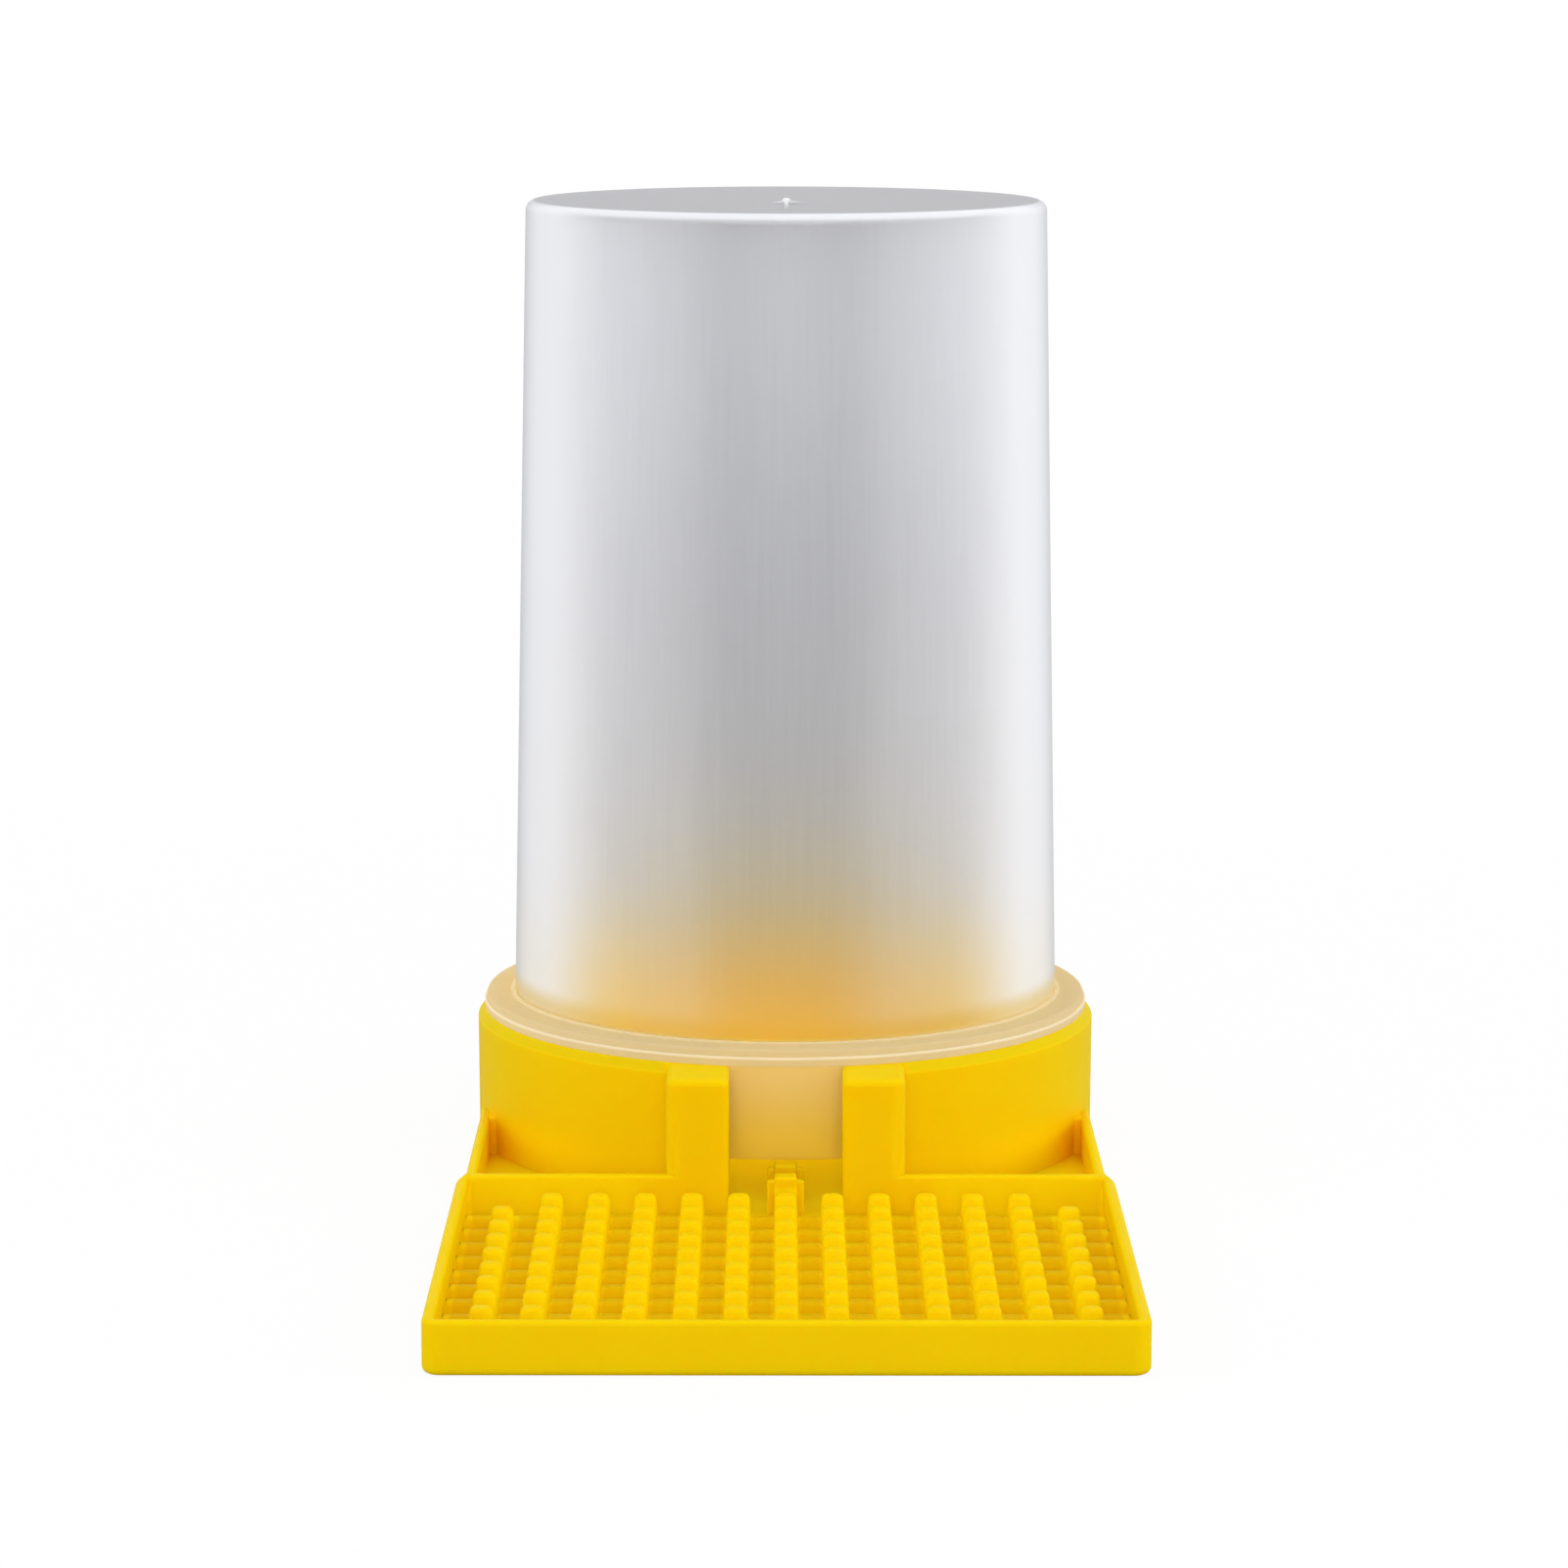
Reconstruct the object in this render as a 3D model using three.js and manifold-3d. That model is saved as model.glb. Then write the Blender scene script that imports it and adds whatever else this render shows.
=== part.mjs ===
// Hive entrance feeder. A syrup cup stands upside down in a round cap, and the cap hangs in the
// ring of a one-piece base, whose front is a shallow landing tray full of drinking pegs.
// Millimetres, +Z up. The origin is where the cup's axis meets the underside of the base, and
// the landing tray lies towards -Y.
import * as THREE from 'three';
import { mergeVertices } from 'three/addons/utils/BufferGeometryUtils.js';
import Module from 'manifold-3d';

const wasm = await Module();
wasm.setup();

// Syrup cup: a drafted beaker with a closed crown and a slimmer band that plugs into the cap.
const cupRadius = 50.5;
const cupCrownRadius = 47.6;
const cupHeight = 146.4;
const cupWall = 1.2;
const crownWall = 1.6;
const crownFillet = 2.2;
const plugStep = 0.2;
const gateNibRadius = 0.9;
const gateNibHeight = 0.9;

// Feed cap: a dish with a wide flange, a thin collar that grips the cup, and feed holes.
const plugClearance = 0.3;
const collarWall = 0.7;
const collarHeight = 0.4;
const collarLip = 1;
const flangeThickness = 3;
const flangeLipHeight = 1.7;
const flangeLipWidth = 0.5;
const flangeLap = 1.8;
const snapRelief = 1.7;
const skirtWall = 1.5;
const skirtDepth = 17.9;
const skirtDraft = 1.2;
const skirtFootFillet = 1.2;
const capFloor = 1.4;
const feedHoleRadius = 1;
const feedHoleCircle = 9;
const feedHoleCount = 6;

// Base ring, which holds the cap by its flange and leaves a syrup gap under its floor.
const baseFloor = 2;
const feedGap = 6.3;
const ringClearance = 0.6;
const ringWall = 3.05;
const ringDraft = 0.15;
const ringChamferWidth = 1.25;
const ringChamferHeight = 1.7;

// Base walls: the landing tray in front and the narrower apron that joins it to the ring.
const rimHeight = 9;
const trayDepth = 94.6;
const trayOverhang = 0.2;
const trayWall = 2;
const trayCorner = 3;
const trayInnerCorner = 1;
const footFillet = 1.2;
const apronDepth = 9.05;
const apronStep = 1.37;
const apronWall = 2.6;
const crossWall = 2.5;
const flareLead = 4.4;
const flareLength = 10.2;

// Gateway: the gap through the ring, between two thick jambs.
const gateWidth = 20;
const jambWidth = 10.8;

// Drinking pegs on low cross ribs.
const pegPitchX = 8.13;
const pegPitchY = 9.14;
const pegHeight = 5.5;
const pegFootRadius = 2.2;
const pegHeadRadius = 1.95;
const pegHeadFillet = 0.45;
const pegSideMargin = 6;
const pegFrontMargin = 8;
const pegBackMargin = 8;
const ribHeight = 1.8;
const ribWidth = 3.2;

// Channel pegs: a taller post with a low cross fin, in line with the middle column.
const channelPostHeight = 6.9;
const channelPostWidth = 4;
const channelFinHeight = 6.1;
const channelFinSpan = 6.5;
const channelFinWidth = 1.8;
const channelClearance = 0.3;

// How far a cutter passes the face that it opens, and how deep a joined piece is sunk.
const overrun = 1;

const roundSegments = 80;
const pegSegments = 8;
const holeSegments = 12;
const cornerSegments = 5;
const filletSegments = 3;
const weldTolerance = 1e-5;

// Sizes that follow from the driving dimensions.
const plugRadius = cupRadius - plugStep;
const socketRadius = plugRadius + plugClearance;
const collarRadius = socketRadius + collarWall;
const dishRadius = socketRadius + snapRelief;
const skirtRadius = dishRadius + skirtWall;
const skirtFootRadius = skirtRadius - skirtDraft;
const ringBore = skirtRadius + ringClearance;
const ringRadius = ringBore + ringWall;
const flangeRadius = ringBore + flangeLap;
const capUnderside = baseFloor + feedGap;
const capFloorTop = capUnderside + capFloor;
const seatHeight = capUnderside + skirtDepth;
const flangeTop = seatHeight + flangeThickness;
const collarTop = flangeTop + collarHeight;
const collarUnderside = flangeTop - collarLip;
const cupTop = collarTop + cupHeight;
const crossWallY = -(ringRadius + apronDepth);
const trayFrontY = crossWallY - trayDepth;
const trayHalfWidth = ringRadius + trayOverhang;
const apronHalfWidth = trayHalfWidth - apronStep;
const flareFrontY = crossWallY - flareLead;
const flareBackY = flareFrontY + flareLength;
const jambOuterX = gateWidth / 2 + jambWidth;
const jambBackY = -Math.sqrt(ringBore ** 2 - jambOuterX ** 2);
const firstRowY = crossWallY - pegBackMargin;
const rowRoom = trayDepth - trayWall - pegBackMargin - pegFrontMargin;
const rowCount = Math.floor(rowRoom / pegPitchY) + 1;
const columnsEachSide = Math.floor((trayHalfWidth - trayWall - pegSideMargin) / pegPitchX);
const channelRoom = -skirtRadius - channelPostWidth / 2 - channelClearance - firstRowY;
const channelPegCount = Math.floor(channelRoom / pegPitchY);

// Turns a closed geometry into a solid that can be joined and cut.
function toSolid(geometry) {
  geometry.deleteAttribute('normal');
  geometry.deleteAttribute('uv');
  const merged = mergeVertices(geometry, weldTolerance);
  const corners = merged.index.array;
  const kept = [];
  for (let i = 0; i < corners.length; i += 3) {
    const [a, b, c] = [corners[i], corners[i + 1], corners[i + 2]];
    if (a !== b && b !== c && c !== a) kept.push(a, b, c);
  }
  const vertProperties = new Float32Array(merged.attributes.position.array);
  const triVerts = new Uint32Array(kept);
  return new wasm.Manifold(new wasm.Mesh({ numProp: 3, vertProperties, triVerts }));
}

function toGeometry(manifold) {
  const mesh = manifold.getMesh();
  const geometry = new THREE.BufferGeometry();
  geometry.setAttribute('position', new THREE.BufferAttribute(mesh.vertProperties, 3));
  geometry.setIndex(new THREE.BufferAttribute(mesh.triVerts, 1));
  geometry.computeVertexNormals();
  return geometry;
}

function joined(solids) {
  return solids.reduce((sum, next) => sum.add(next));
}

// A profile of [radius, height] points turned about the Z axis.
function turned(profile, segments) {
  const points = profile.map(([radius, height]) => new THREE.Vector2(radius, height));
  return new THREE.LatheGeometry(points, segments).rotateX(Math.PI / 2);
}

// A quarter-round from one profile point to another, about a centre, angles in quarter turns.
function quarterRound(centreRadius, centreHeight, radius, fromQuarter, toQuarter) {
  const points = [];
  for (let step = 0; step <= filletSegments; step += 1) {
    const quarter = fromQuarter + (toQuarter - fromQuarter) * (step / filletSegments);
    const angle = quarter * Math.PI / 2;
    points.push([centreRadius + radius * Math.cos(angle), centreHeight + radius * Math.sin(angle)]);
  }
  return points;
}

// A block between two X and two Y planes, standing from one height to another.
function block(x0, x1, y0, y1, z0, z1) {
  const geometry = new THREE.BoxGeometry(x1 - x0, y1 - y0, z1 - z0);
  geometry.translate((x0 + x1) / 2, (y0 + y1) / 2, (z0 + z1) / 2);
  return toSolid(geometry);
}

// The plan of the low walls: round front corners, and a smooth flare from the apron to the tray.
function lowOutline() {
  const [wide, narrow] = [trayHalfWidth, apronHalfWidth];
  const bend = flareLength / 2;
  const outline = new THREE.Shape();
  outline.absarc(-wide + trayCorner, trayFrontY + trayCorner, trayCorner, Math.PI, Math.PI * 1.5, false);
  outline.absarc(wide - trayCorner, trayFrontY + trayCorner, trayCorner, -Math.PI / 2, 0, false);
  outline.lineTo(wide, flareFrontY);
  outline.bezierCurveTo(wide, flareFrontY + bend, narrow, flareBackY - bend, narrow, flareBackY);
  outline.lineTo(narrow, 0);
  outline.lineTo(-narrow, 0);
  outline.lineTo(-narrow, flareBackY);
  outline.bezierCurveTo(-narrow, flareBackY - bend, -wide, flareFrontY + bend, -wide, flareFrontY);
  return outline;
}

// The low walls' outer block: its foot edge is rounded, and its top is trimmed flat at the rim.
function lowBlock() {
  const options = {
    depth: rimHeight,
    bevelEnabled: true,
    bevelThickness: footFillet,
    bevelSize: footFillet,
    bevelOffset: -footFillet,
    bevelSegments: filletSegments,
    curveSegments: cornerSegments,
  };
  const rough = new THREE.ExtrudeGeometry(lowOutline(), options).translate(0, 0, footFillet);
  const reach = trayHalfWidth + overrun;
  const above = rimHeight + footFillet * 2 + overrun;
  const lid = block(-reach, reach, trayFrontY - overrun, overrun, rimHeight, above);
  return toSolid(rough).subtract(lid);
}

// The inside of the tray, a rectangle with four small round corners.
function trayPocket() {
  const radius = trayInnerCorner;
  const right = trayHalfWidth - trayWall - radius;
  const [front, back] = [trayFrontY + trayWall + radius, crossWallY - radius];
  const outline = new THREE.Shape();
  outline.absarc(-right, front, radius, Math.PI, Math.PI * 1.5, false);
  outline.absarc(right, front, radius, -Math.PI / 2, 0, false);
  outline.absarc(right, back, radius, 0, Math.PI / 2, false);
  outline.absarc(-right, back, radius, Math.PI / 2, Math.PI, false);
  const options = {
    depth: rimHeight - baseFloor + overrun,
    bevelEnabled: false,
    curveSegments: cornerSegments,
  };
  return toSolid(new THREE.ExtrudeGeometry(outline, options).translate(0, 0, baseFloor));
}

// The inside of the apron, before the ring and the jambs are taken out of it.
function apronPocket() {
  const right = apronHalfWidth - apronWall;
  return block(-right, right, crossWallY + crossWall, 0, baseFloor, rimHeight + overrun);
}

// The ring's outside: a slight draft towards the foot, and a wide chamfer below the flange.
function ringBody() {
  const profile = [
    [0, 0],
    [ringRadius - ringDraft, 0],
    [ringRadius, seatHeight - ringChamferHeight],
    [ringRadius - ringChamferWidth, seatHeight],
    [0, seatHeight],
  ];
  return toSolid(turned(profile, roundSegments));
}

function ringWell() {
  const profile = [
    [0, baseFloor],
    [ringBore, baseFloor],
    [ringBore, seatHeight + overrun],
    [0, seatHeight + overrun],
  ];
  return toSolid(turned(profile, roundSegments));
}

function jambs() {
  const left = block(-jambOuterX, -gateWidth / 2, crossWallY, jambBackY, 0, seatHeight);
  const right = block(gateWidth / 2, jambOuterX, crossWallY, jambBackY, 0, seatHeight);
  return left.add(right);
}

function gateCut() {
  const [side, front, top] = [gateWidth / 2, crossWallY - overrun, seatHeight + overrun];
  return block(-side, side, front, jambBackY, baseFloor, top);
}

function peg(x, y) {
  const foot = baseFloor - overrun;
  const head = baseFloor + pegHeight;
  const profile = [
    [0, foot],
    [pegFootRadius, foot],
    [pegHeadRadius, head - pegHeadFillet],
    [pegHeadRadius - pegHeadFillet, head],
    [0, head],
  ];
  const geometry = turned(profile, pegSegments);
  geometry.rotateZ(Math.PI / pegSegments);
  geometry.translate(x, y, 0);
  return toSolid(geometry);
}

// Rows of pegs stand on the cross ribs. The outermost columns start one row further forward.
function drinkingPegs() {
  const pieces = [];
  for (let row = 0; row < rowCount; row += 1) {
    const y = firstRowY - row * pegPitchY;
    const reach = trayHalfWidth - trayWall / 2;
    const foot = baseFloor - overrun;
    pieces.push(block(-reach, reach, y - ribWidth / 2, y + ribWidth / 2, foot, baseFloor + ribHeight));
    for (let column = -columnsEachSide; column <= columnsEachSide; column += 1) {
      const outermost = Math.abs(column) === columnsEachSide;
      if (row > 0 || !outermost) pieces.push(peg(column * pegPitchX, y));
    }
  }
  return pieces;
}

// The middle column goes on through the gateway as plus-shaped posts.
function channelPegs() {
  const pieces = [];
  const post = channelPostWidth / 2;
  const fin = channelFinSpan / 2;
  const foot = baseFloor - overrun;
  for (let index = 1; index <= channelPegCount; index += 1) {
    const y = firstRowY + index * pegPitchY;
    pieces.push(block(-post, post, y - post, y + post, foot, baseFloor + channelPostHeight));
    const [near, far] = [y - channelFinWidth / 2, y + channelFinWidth / 2];
    pieces.push(block(-fin, fin, near, far, foot, baseFloor + channelFinHeight));
  }
  return pieces;
}

// The feeder base, one moulding: tray, apron, ring, jambs, ribs and pegs.
function feederBase() {
  const ring = ringBody();
  const posts = jambs();
  const shell = joined([lowBlock(), ring, posts]);
  const cornerPockets = apronPocket().subtract(ring).subtract(posts);
  const open = shell.subtract(joined([trayPocket(), cornerPockets, ringWell(), gateCut()]));
  return joined([open, ...drinkingPegs(), ...channelPegs()]);
}

function feedCap() {
  const footCentre = [skirtFootRadius - skirtFootFillet, capUnderside + skirtFootFillet];
  const profile = [
    [0, capUnderside],
    ...quarterRound(...footCentre, skirtFootFillet, -1, 0),
    [skirtRadius, seatHeight],
    [flangeRadius, seatHeight],
    [flangeRadius, seatHeight + flangeLipHeight],
    [flangeRadius - flangeLipWidth, seatHeight + flangeLipHeight],
    [flangeRadius - flangeLipWidth, flangeTop],
    [collarRadius, flangeTop],
    [collarRadius, collarTop],
    [socketRadius, collarTop],
    [socketRadius, collarUnderside],
    [dishRadius, seatHeight],
    [skirtFootRadius - skirtWall, capFloorTop],
    [0, capFloorTop],
  ];
  const dish = toSolid(turned(profile, roundSegments));
  const holes = [];
  for (let index = 0; index < feedHoleCount; index += 1) {
    const angle = index / feedHoleCount * Math.PI * 2;
    const hole = new THREE.CylinderGeometry(
      feedHoleRadius, feedHoleRadius, capFloor + overrun + overrun, holeSegments,
    );
    hole.rotateX(Math.PI / 2);
    const [x, y] = [feedHoleCircle * Math.cos(angle), feedHoleCircle * Math.sin(angle)];
    hole.translate(x, y, capUnderside + capFloor / 2);
    holes.push(toSolid(hole));
  }
  return dish.subtract(joined(holes));
}

function syrupCup() {
  const slope = (cupRadius - cupCrownRadius) / cupHeight;
  const wallAt = (height) => cupRadius - slope * (height - collarTop);
  const innerFillet = crownFillet - cupWall;
  const innerTop = cupTop - crownWall;
  const innerCrown = wallAt(innerTop) - cupWall;
  const profile = [
    [0, innerTop],
    ...quarterRound(innerCrown - innerFillet, innerTop - innerFillet, innerFillet, 1, 0),
    [cupRadius - cupWall, collarTop],
    [plugRadius - cupWall, capFloorTop],
    [plugRadius, capFloorTop],
    [plugRadius, collarTop],
    [cupRadius, collarTop + plugStep],
    ...quarterRound(cupCrownRadius - crownFillet, cupTop - crownFillet, crownFillet, 0, 1),
    [gateNibRadius, cupTop],
    [gateNibRadius, cupTop + gateNibHeight],
    [0, cupTop + gateNibHeight],
  ];
  return toSolid(turned(profile, roundSegments));
}

const yellowPlastic = new THREE.MeshStandardMaterial({ color: 0xf4c405, roughness: 0.45, metalness: 0 });
const capPlastic = new THREE.MeshStandardMaterial({
  color: 0xdfc59c, roughness: 0.4, metalness: 0, transparent: true, opacity: 0.75,
});
const cupPlastic = new THREE.MeshStandardMaterial({
  color: 0xc6c8cb, roughness: 0.35, metalness: 0, transparent: true, opacity: 0.6,
});

function piece(name, manifold, material) {
  const mesh = new THREE.Mesh(toGeometry(manifold), material);
  mesh.name = name;
  return mesh;
}

const group = new THREE.Group();
group.add(piece('feeder_base', feederBase(), yellowPlastic));
group.add(piece('feed_cap', feedCap(), capPlastic));
group.add(piece('syrup_cup', syrupCup(), cupPlastic));

export default group;
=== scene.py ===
import math

import bpy
import numpy as np
from mathutils import Matrix, Vector


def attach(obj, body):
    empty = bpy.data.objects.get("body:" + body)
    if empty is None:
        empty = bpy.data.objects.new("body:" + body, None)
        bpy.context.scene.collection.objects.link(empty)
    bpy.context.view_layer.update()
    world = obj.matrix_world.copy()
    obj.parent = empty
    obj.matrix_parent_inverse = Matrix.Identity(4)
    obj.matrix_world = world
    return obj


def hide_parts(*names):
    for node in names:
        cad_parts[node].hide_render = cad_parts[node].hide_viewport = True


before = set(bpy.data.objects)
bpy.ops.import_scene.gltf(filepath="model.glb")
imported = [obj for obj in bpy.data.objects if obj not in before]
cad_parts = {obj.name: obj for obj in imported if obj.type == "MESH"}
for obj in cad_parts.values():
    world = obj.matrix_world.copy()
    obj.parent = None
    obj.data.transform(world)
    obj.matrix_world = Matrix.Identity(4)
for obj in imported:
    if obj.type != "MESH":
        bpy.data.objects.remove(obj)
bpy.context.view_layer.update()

# Hive entrance feeder. A frosted syrup cup stands upside down in a milky feed cap, and the cap
# hangs in the ring of a yellow moulded base with a landing tray full of drinking pegs.
# Shapes are written in millimetres and become metres where a mesh is made. Z is up along the
# cup's axis, X = 0 is the mirror plane, and the tray runs out towards -Y.
MM = 0.001

# Walls of the base.
FLOOR = 2.0
RIM = 9.0
RIM_ROUND = 0.8
RIM_FLARE = 0.7
FOOT_ROUND = 1.2
TRAY_FRONT_Y = -161.1
TRAY_HALF = 57.65
TRAY_WALL = 2.0
TRAY_INNER_HALF = TRAY_HALF - TRAY_WALL
TRAY_INNER_FRONT = TRAY_FRONT_Y + TRAY_WALL
TRAY_CORNER = 3.0
TRAY_INNER_CORNER = 1.0
CROSS_WALL_Y = -66.5
CROSS_WALL = 2.5
APRON_HALF = 56.28
APRON_WALL = 1.9
APRON_CORNER = 0.6
FLARE_FRONT_Y = -70.9
FLARE_BACK_Y = -60.7

# Ring and gateway. A round is the radius of an edge.
RING_RADIUS = 57.45
RING_BORE = 54.4
RING_TOP = 26.2
RING_DRAFT = 0.15
RING_CHAMFER = (1.25, 1.7)
RING_FOOT_ROUND = 0.4
RING_CHAMFER_ROUND = 0.5
RING_TOP_ROUND = 0.25
BORE_ROUND = 0.4
GATE_HALF = 10.0
JAMB_OUTER = 21.0
JAMB_BACK_Y = -40.0
JAMB_ROUND = 1.3
JAMB_OUTER_ROUND = 2.6
JAMB_TOP_ROUND = 1.2

# Small webs that blunt the sharp corner between the ring and the apron's side wall.
CORNER_WEB = ((52.6, -21.3), (54.9, -21.3), (54.9, -15.0))
CORNER_WEB_ROUND = 0.7

# Peg field, with as many columns on each side of the middle one, and the channel posts in the
# gateway.
PEG_PITCH = (8.13, 9.14)
PEG_COLUMNS_ASIDE = 6
PEG_ROWS = 9
FIRST_ROW_Y = -74.5
PEG_HEIGHT = 5.8
PEG_HALF = 2.3
PEG_DRAFT = 0.5
PEG_CORNER = 1.6
PEG_ROUND = 0.95
RIB_HEIGHT = 1.8
RIB_WIDTH = 3.2
RIB_CORNER = 0.1
RIB_ROUND = 0.9
RIB_DRAFT = 0.3
POST_HEIGHT = 6.9
POST_WIDTH = 4.0
POST_CORNER = 0.6
POST_ROUND = 0.5
FIN_HEIGHT = 6.1
FIN_SPAN = 6.5
FIN_WIDTH = 1.8
FIN_CORNER = 0.3
FIN_ROUND = 0.4

# Feed cap.
CAP_UNDERSIDE = 8.3
CAP_FLOOR_TOP = 9.7
FLANGE_RADIUS = 56.2
LIP_TOP = 27.9
TIER_RADIUS = 55.7
FLANGE_TOP = 29.2
COLLAR_RADIUS = 51.3
COLLAR_TOP = 29.6
COLLAR_LIP = 1.0
SOCKET_RADIUS = 50.6
DISH_RADIUS = 52.3
SKIRT_TOP_RADIUS = 53.8
SKIRT_FOOT_RADIUS = 52.6
SKIRT_WALL = 1.5
FEED_HOLE_CIRCLE = 9.0
FEED_HOLE_RADIUS = 1.0
FEED_HOLES = 6

# Syrup cup.
CUP_RADIUS = 50.5
CUP_CROWN_RADIUS = 47.6
CUP_TOP = 176.0
CUP_WALL = 1.2
CROWN_WALL = 1.6
CROWN_ROUND = 1.9
CROWN_DISH = 0.9
CREST_RADIUS = CUP_CROWN_RADIUS - CROWN_ROUND
PLUG_RADIUS = 50.3
SHOULDER_RISE = 0.3

# Gate mark in the middle of the crown. A web is its angle in degrees, its length, and the height
# of its near and far end over the middle of the crown.
NIB_RADIUS = 0.8
NIB_RISE = 1.1
NIB_ROUND = 0.3
NIB_TOP_SHARE = 0.8
MARK_ROOT = 0.6
MARK_WEB_WIDTH = 0.7
MARK_WEBS = ((-90.0, 24.0, 0.8, 0.25), (-22.0, 6.6, 0.8, -0.2), (-158.0, 5.2, 0.8, -0.2))

# A hair's breadth that keeps two touching faces from lying in the same plane, and how far a
# cutter reaches past what it cuts.
HAIR = 0.02
OVERRUN = 2.0
DRILL_OVERRUN = 1.0

# Height, inside the floor, at which what grows out of it starts.
WALL_ROOT = 0.5
PEG_ROOT = 1.5

# Lengths that count as nothing.
NOTHING = 1e-9
SAME_POINT = 1e-6

# Segments round a large and a small turned piece, and points along a flare and a dish.
SEGMENTS = 256
SMALL_SEGMENTS = 24
FLARE_POINTS = 15
DISH_POINTS = 10


def softened(corners, radii, steps=6, closed=True):
    """A polyline whose corners become arcs that touch both of the sides beside them.

    An arc of radius r in a corner of angle a has its centre r / sin(a / 2) from the corner, on
    the bisector. Its points turn evenly from one touching point to the other. With closed False
    the two end points stay as they are.
    """
    corners = np.asarray(corners, float)
    radii = np.broadcast_to(np.asarray(radii, float), len(corners)).copy()
    if not closed:
        radii[[0, -1]] = 0.0
    before = np.roll(corners, 1, axis=0) - corners
    after = np.roll(corners, -1, axis=0) - corners
    if not closed:
        # An end has only one side, so it is worked out as a square corner of radius 0.
        before[0], after[-1] = (1.0, 0.0), (1.0, 0.0)
        after[0], before[-1] = (0.0, 1.0), (0.0, 1.0)
    before /= np.linalg.norm(before, axis=1, keepdims=True)
    after /= np.linalg.norm(after, axis=1, keepdims=True)
    angle = np.arccos(np.clip((before * after).sum(axis=1), -1.0, 1.0))
    bisector = before + after
    bisector /= np.maximum(np.linalg.norm(bisector, axis=1, keepdims=True), NOTHING)
    centre = corners + bisector * (radii / np.sin(angle / 2))[:, None]
    touch = (radii / np.tan(angle / 2))[:, None]
    first = corners + before * touch - centre
    last = corners + after * touch - centre
    turn = (math.pi - angle)[:, None]
    share = np.linspace(0.0, 1.0, steps + 1)[None, :]
    near = np.sin((1.0 - share) * turn) / np.sin(turn)
    far = np.sin(share * turn) / np.sin(turn)
    points = centre[:, None] + near[..., None] * first[:, None] + far[..., None] * last[:, None]
    points = points.reshape(-1, 2)
    gap = np.linalg.norm(points - np.roll(points, 1, axis=0), axis=1)
    keep = gap > SAME_POINT
    if not closed:
        keep[0] = True
    return points[keep]


def rounded_profile(rows, steps):
    """An open profile whose rows hold a corner's radius, its height and the round put on it."""
    rows = np.asarray(rows, float)
    return softened(rows[:, :2], rows[:, 2], steps, closed=False)


def ring_quads(rings, around, start=0):
    """Four-sided faces between neighbouring rings of points that close on themselves."""
    ring, step = np.meshgrid(np.arange(rings - 1), np.arange(around), indexing="ij")
    following = (step + 1) % around
    low, high = start + ring * around, start + (ring + 1) * around
    quads = np.stack((low + step, low + following, high + following, high + step), axis=-1)
    return quads.reshape(-1, 4)


def turned(profile, segments):
    """A profile of (radius, height) points turned about the Z axis, with a pole at each end.

    Point (i, j) is (r_i cos t_j, r_i sin t_j, z_i), with t_j going once round in even steps.
    """
    profile = np.asarray(profile, float)
    angle = np.linspace(0.0, 2.0 * math.pi, segments, endpoint=False)
    radius, height = profile[1:-1, 0][:, None], profile[1:-1, 1][:, None]
    sheet = np.stack((radius * np.cos(angle), radius * np.sin(angle), height + 0.0 * angle), axis=-1)
    poles = [(0.0, 0.0, profile[0, 1]), (0.0, 0.0, profile[-1, 1])]
    points = np.vstack((poles, sheet.reshape(-1, 3)))
    rings = len(profile) - 2
    quads = ring_quads(rings, segments, start=2)
    step = np.arange(segments)
    following = (step + 1) % segments
    last = 2 + (rings - 1) * segments
    foot = np.stack((0 * step, 2 + following, 2 + step), axis=-1)
    crown = np.stack((0 * step + 1, last + step, last + following), axis=-1)
    return points, quads.tolist() + foot.tolist() + crown.tolist()


def carried(outline, section):
    """A closed plan outline carried up through a section of (inset, height) points.

    Every outline point moves along its own inward normal by the inset, lengthened at a corner so
    that the sides stay parallel, and a flat face closes each end.
    """
    outline, section = np.asarray(outline, float), np.asarray(section, float)
    ahead = np.roll(outline, -1, axis=0) - outline
    ahead /= np.linalg.norm(ahead, axis=1, keepdims=True)
    inward = np.column_stack((-ahead[:, 1], ahead[:, 0]))
    mean = inward + np.roll(inward, 1, axis=0)
    mean /= np.maximum((mean * inward).sum(axis=1, keepdims=True), NOTHING)
    plan = outline[None] + section[:, None, 0:1] * mean[None]
    height = np.broadcast_to(section[:, None, 1:2], plan.shape[:2] + (1,))
    points = np.concatenate((plan, height), axis=-1).reshape(-1, 3)
    around = len(outline)
    quads = ring_quads(len(section), around).tolist()
    foot = list(range(around))[::-1]
    top = list(range((len(section) - 1) * around, len(section) * around))
    return points, quads + [foot, top]


def stamped(shape, places):
    """Copies of one shape, each moved to its own place."""
    points, faces = shape
    places = np.asarray(places, float)
    copies = (points[None] + places[:, None]).reshape(-1, 3)
    jumps = np.arange(len(places)) * len(points)
    return copies, [[corner + jump for corner in face] for jump in jumps.tolist() for face in faces]


def together(*shapes):
    """Several shapes that don't touch, as one."""
    points = np.vstack([shape[0] for shape in shapes])
    jumps = np.cumsum([0] + [len(shape[0]) for shape in shapes[:-1]]).tolist()
    faces = [[c + jump for c in face] for jump, shape in zip(jumps, shapes) for face in shape[1]]
    return points, faces


def oblong(x0, x1, y0, y1, radii, steps=6):
    """A rectangular plan, anticlockwise from its low corner, with a radius for each corner."""
    return softened([(x0, y0), (x1, y0), (x1, y1), (x0, y1)], radii, steps)


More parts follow.
